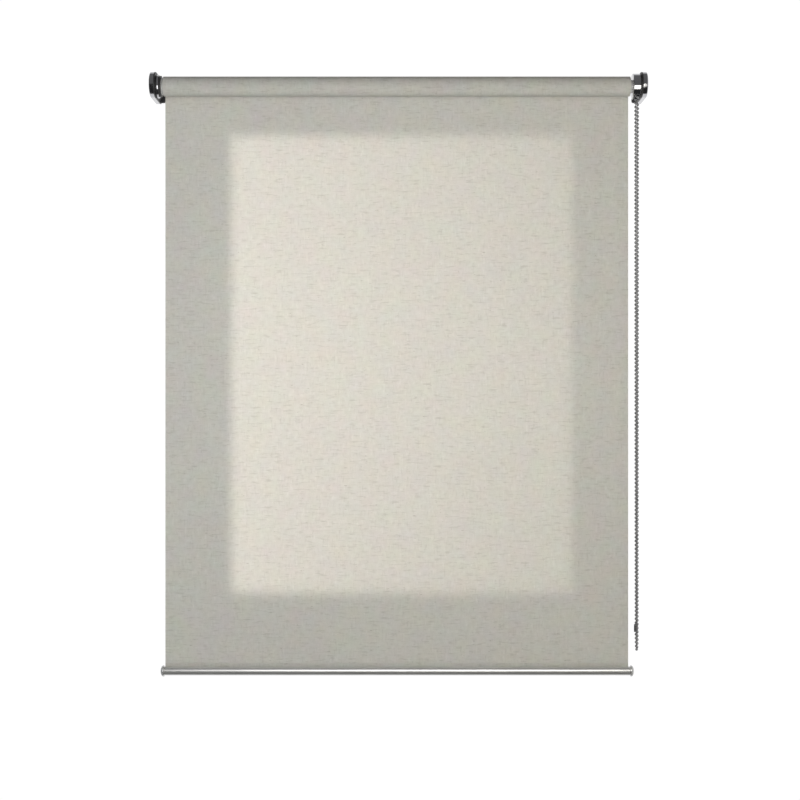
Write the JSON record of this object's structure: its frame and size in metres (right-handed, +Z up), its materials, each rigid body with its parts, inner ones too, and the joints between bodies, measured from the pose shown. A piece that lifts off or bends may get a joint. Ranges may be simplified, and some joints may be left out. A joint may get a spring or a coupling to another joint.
{
  "type": "roller blind",
  "caption": "Roller blind: linen-look fabric on a tube between two chromed wall brackets, wound by an endless bead chain through a wrap-spring clutch, with a round bottom bar.",
  "frame": {"origin": "middle of the drive-side bracket's wall face", "axes": "+X along the roller towards the drive side, which is on the right seen from the room, +Y into the wall, +Z up"},
  "size_m": [0.766, 0.068, 0.9368],
  "materials": {
    "chrome": "bright chrome plating",
    "zinc": "plain zinc casting",
    "aluminium": "satin anodised extrusion",
    "steel": "drawn spring steel",
    "chain_metal": "nickel-plated bead chain",
    "black_plastic": "moulded black nylon",
    "grey_plastic": "moulded light grey acetal",
    "white_plastic": "extruded white strip",
    "linen": "translucent plain weave with slubs"
  },
  "bodies": {
    "wall_set": {"drive_bracket": "zinc", "drive_bracket_cover": "chrome", "clutch_core": "black_plastic", "core_clip": "steel", "chain_guard": "chrome", "idle_bracket": "zinc", "idle_bracket_cover": "chrome", "idle_hub": "chrome", "idle_bearing": "black_plastic", "fabric_panel": "linen", "bead_chain": "chain_metal"},
    "roller": {"roller_tube": "aluminium", "fixing_strip": "white_plastic", "fabric_roll": "linen", "chain_wheel": "grey_plastic", "drive_plug": "grey_plastic", "brake_spring_1": "steel", "brake_spring_2": "steel", "idle_plug": "grey_plastic", "pin_spring": "steel", "spring_cap": "black_plastic"},
    "idle_pin": {"idle_pin": "steel"},
    "bottom_bar": {"bottom_bar": "aluminium", "hem_rod": "white_plastic", "bar_cap_idle": "chrome", "bar_cap_drive": "chrome"},
    "chain_connector": {"chain_connector": "zinc"}
  },
  "joints": [
    {"name": "tube_spin", "type": "hinge", "parent": "wall_set", "child": "roller", "pos_m": [-0.3745, -0.048, -0.00225], "axis": [1, 0, 0], "range_deg": [0, 3312]},
    {"name": "bar_lift", "type": "slide", "parent": "wall_set", "child": "bottom_bar", "axis": [0, 0, 1], "range_m": [0, 0.8731], "deforming": ["fabric_panel"]},
    {"name": "connector_travel", "type": "slide", "parent": "wall_set", "child": "chain_connector", "axis": [0, 0.0046, 1], "range_m": [0, 0.5522]},
    {"name": "pin_slide", "type": "slide", "parent": "roller", "child": "idle_pin", "axis": [1, 0, 0], "range_m": [0, 0.0065], "stiffness_N_per_m": 300, "springref_m": -0.0067, "deforming": ["pin_spring"]}
  ],
  "couplings": [
    {"joint": "bar_lift", "follows": "tube_spin", "m_per_rad": 0.0151},
    {"joint": "connector_travel", "follows": "tube_spin", "m_per_rad": 0.00955}
  ]
}
